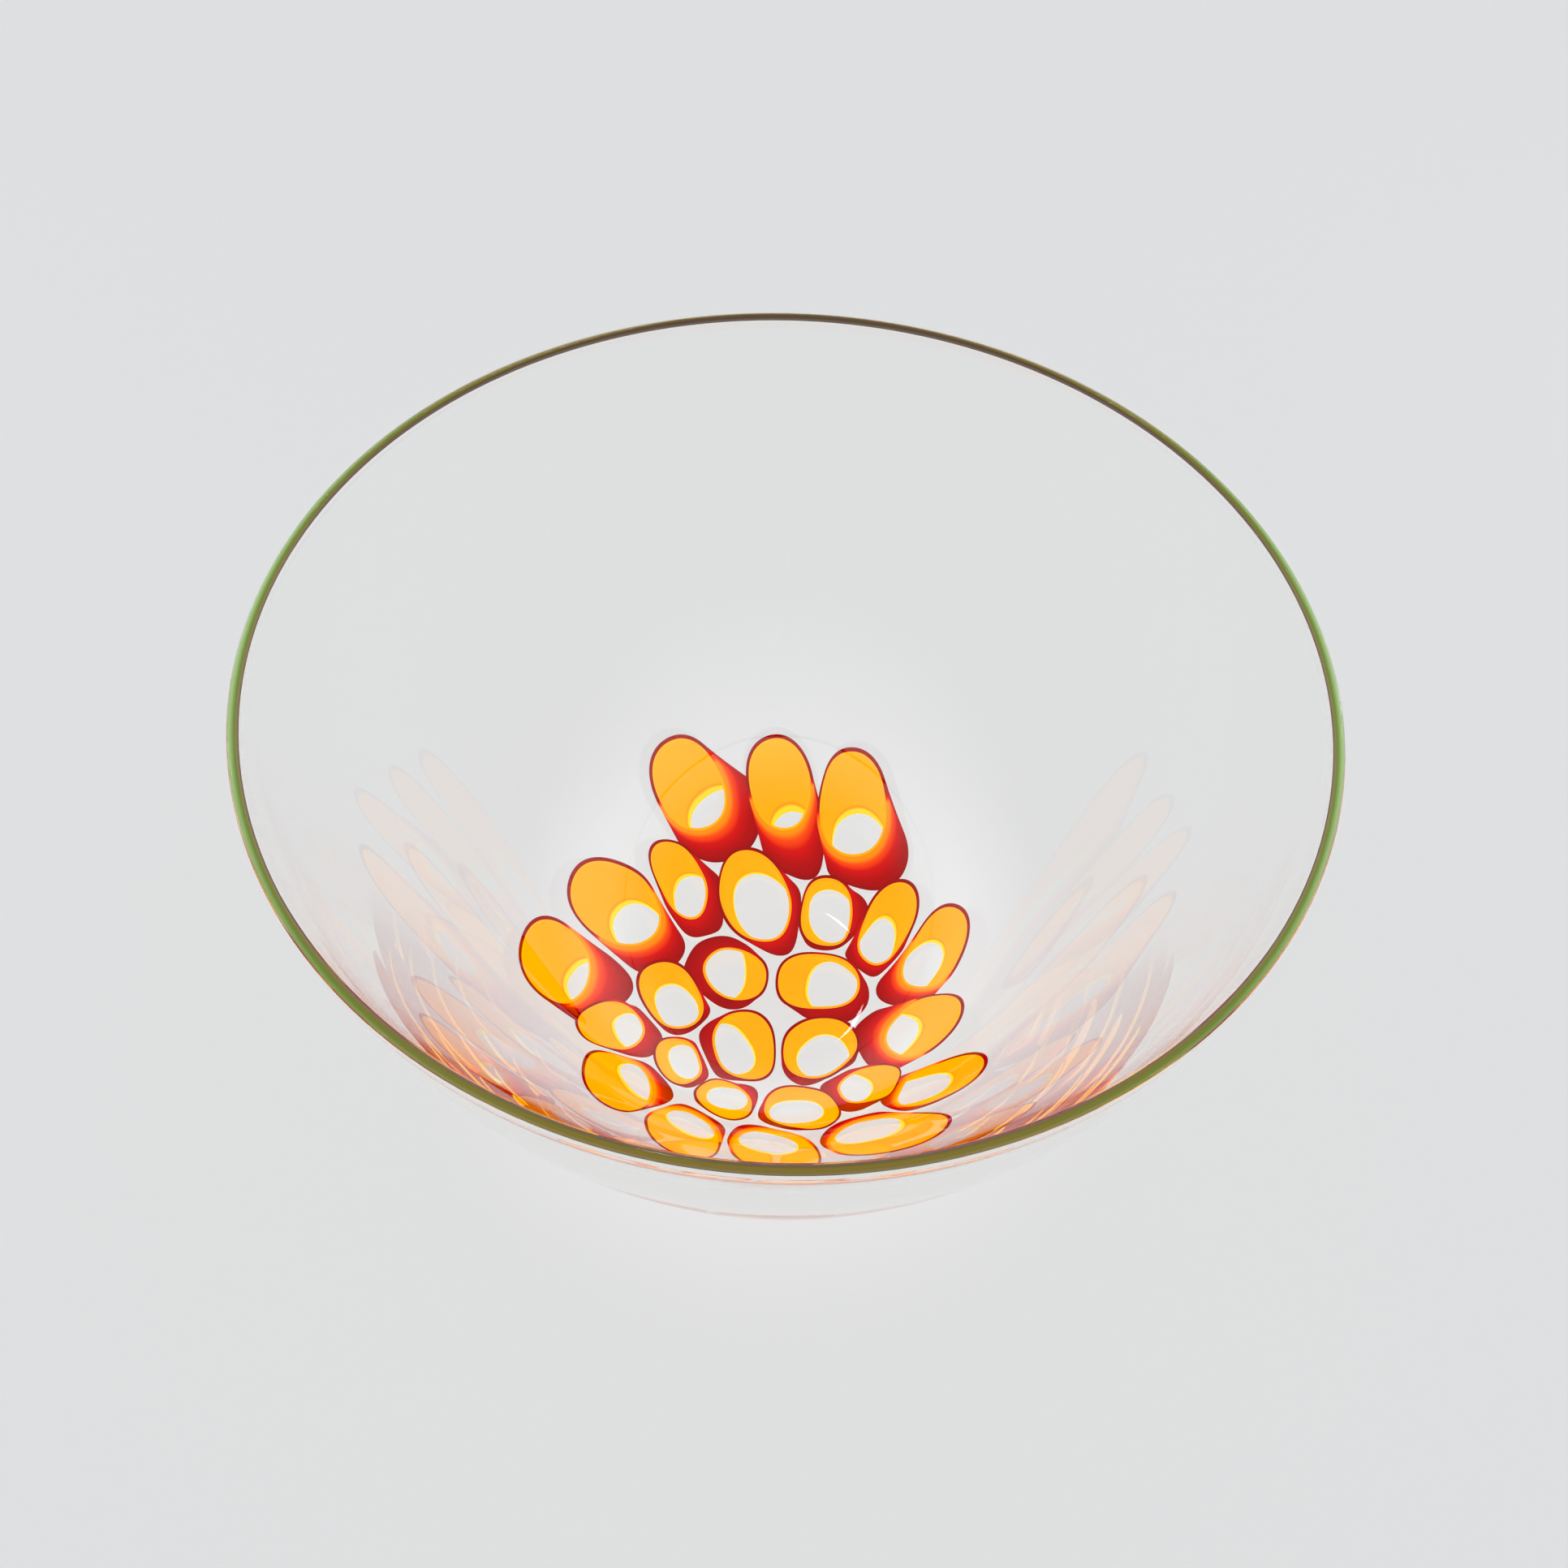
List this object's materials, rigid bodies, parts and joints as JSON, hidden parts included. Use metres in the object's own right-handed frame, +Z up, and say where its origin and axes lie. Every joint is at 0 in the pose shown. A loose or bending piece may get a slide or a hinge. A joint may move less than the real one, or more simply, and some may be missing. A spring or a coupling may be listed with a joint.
{
  "type": "art glass bowl",
  "caption": "Deep clear blown-glass bowl with a rosette of amber and red cane slices fused into its base and a thread of olive glass round the lip.",
  "frame": {"origin": "centre of the flat foot, on the surface that the bowl stands on", "axes": "+Z up through the middle of the lip; the longest petals of the rosette climb the +Y side of the wall"},
  "size_m": [0.25, 0.25, 0.15],
  "materials": {
    "clear_glass": "clear, fire-polished",
    "olive_glass": "transparent olive green with a brown line, fire-polished",
    "amber_glass": "opal amber yellow, inside clear glass",
    "red_glass": "dense red, inside clear glass"
  },
  "bodies": {
    "root": {"clear_wall": "clear_glass", "lip_thread": "olive_glass", "clear_cores": "clear_glass", "heart_1_amber": "amber_glass", "heart_2_amber": "amber_glass", "heart_3_amber": "amber_glass", "heart_4_amber": "amber_glass", "middle_1_amber": "amber_glass", "middle_2_amber": "amber_glass", "middle_3_amber": "amber_glass", "middle_4_amber": "amber_glass", "middle_5_amber": "amber_glass", "middle_6_amber": "amber_glass", "middle_7_amber": "amber_glass", "middle_8_amber": "amber_glass", "middle_9_amber": "amber_glass", "middle_10_amber": "amber_glass", "outer_1_amber": "amber_glass", "outer_2_amber": "amber_glass", "outer_3_amber": "amber_glass", "outer_4_amber": "amber_glass", "outer_5_amber": "amber_glass", "outer_6_amber": "amber_glass", "outer_7_amber": "amber_glass", "outer_8_amber": "amber_glass", "outer_9_amber": "amber_glass", "outer_10_amber": "amber_glass", "outer_11_amber": "amber_glass", "outer_12_amber": "amber_glass", "heart_1_red": "red_glass", "heart_2_red": "red_glass", "heart_3_red": "red_glass", "heart_4_red": "red_glass", "middle_1_red": "red_glass", "middle_2_red": "red_glass", "middle_3_red": "red_glass", "middle_4_red": "red_glass", "middle_5_red": "red_glass", "middle_6_red": "red_glass", "middle_7_red": "red_glass", "middle_8_red": "red_glass", "middle_9_red": "red_glass", "middle_10_red": "red_glass", "outer_1_red": "red_glass", "outer_2_red": "red_glass", "outer_3_red": "red_glass", "outer_4_red": "red_glass", "outer_5_red": "red_glass", "outer_6_red": "red_glass", "outer_7_red": "red_glass", "outer_8_red": "red_glass", "outer_9_red": "red_glass", "outer_10_red": "red_glass", "outer_11_red": "red_glass", "outer_12_red": "red_glass"}
  },
  "joints": []
}
